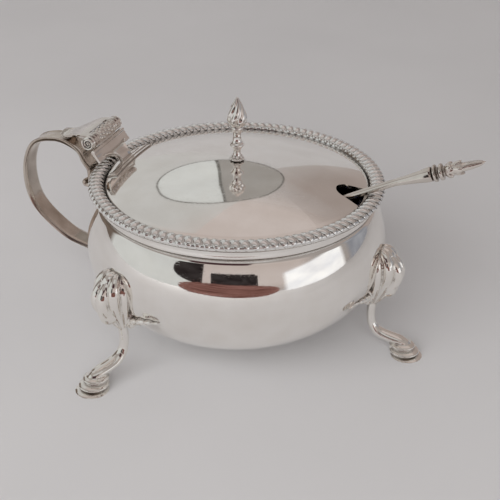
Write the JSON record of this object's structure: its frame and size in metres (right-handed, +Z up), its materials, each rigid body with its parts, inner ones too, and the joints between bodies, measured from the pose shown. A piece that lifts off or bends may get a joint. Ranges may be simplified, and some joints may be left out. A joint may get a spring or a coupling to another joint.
{
  "type": "mustard pot",
  "caption": "Round footed table pot in polished metal with a hinged domed lid, a loop handle, a glass liner and a spoon that passes through a notch in the lid.",
  "frame": {"origin": "on the table, on the pot's own axis, at the middle of the footprint", "axes": "+Z up, +X towards the spoon and the front foot, -X towards the hinge and the handle"},
  "size_m": [0.1211, 0.0898, 0.0658],
  "materials": {
    "silver": "polished silver with fine wear",
    "silver_cast": "polished cast silver, darker in its hollows",
    "silver_inside": "satin silver with a little tarnish",
    "cobalt_glass": "clear cobalt blue glass"
  },
  "bodies": {
    "pot": {"body_shell": "silver", "neck_band": "silver", "gadroon_border": "silver", "lid_seat": "silver_inside", "liner_seat": "silver_inside", "glass_liner": "cobalt_glass", "foot_front": "silver_cast", "foot_left": "silver_cast", "foot_right": "silver_cast", "handle_strap": "silver_cast", "hinge_leaf": "silver_cast", "hinge_pin": "silver_inside", "hinge_scrolls": "silver_cast"},
    "lid": {"lid_plate": "silver", "lid_bezel": "silver_inside", "lid_hinge_strap": "silver_cast", "lid_hinge_plate": "silver", "finial": "silver_cast", "finial_washer": "silver_inside", "finial_nut": "silver_inside"},
    "spoon": {"spoon_bowl": "silver", "spoon_stem": "silver", "spoon_terminal": "silver_cast"}
  },
  "joints": [
    {"name": "lid_hinge", "type": "hinge", "parent": "pot", "child": "lid", "pos_m": [-0.03707, 0, 0.05145], "axis": [0, -1, 0], "range_deg": [0, 105]},
    {"name": "spoon_slide", "type": "slide", "parent": "pot", "child": "spoon", "axis": [0.891, 0, 0.454], "range_m": [0, 0.034]}
  ]
}
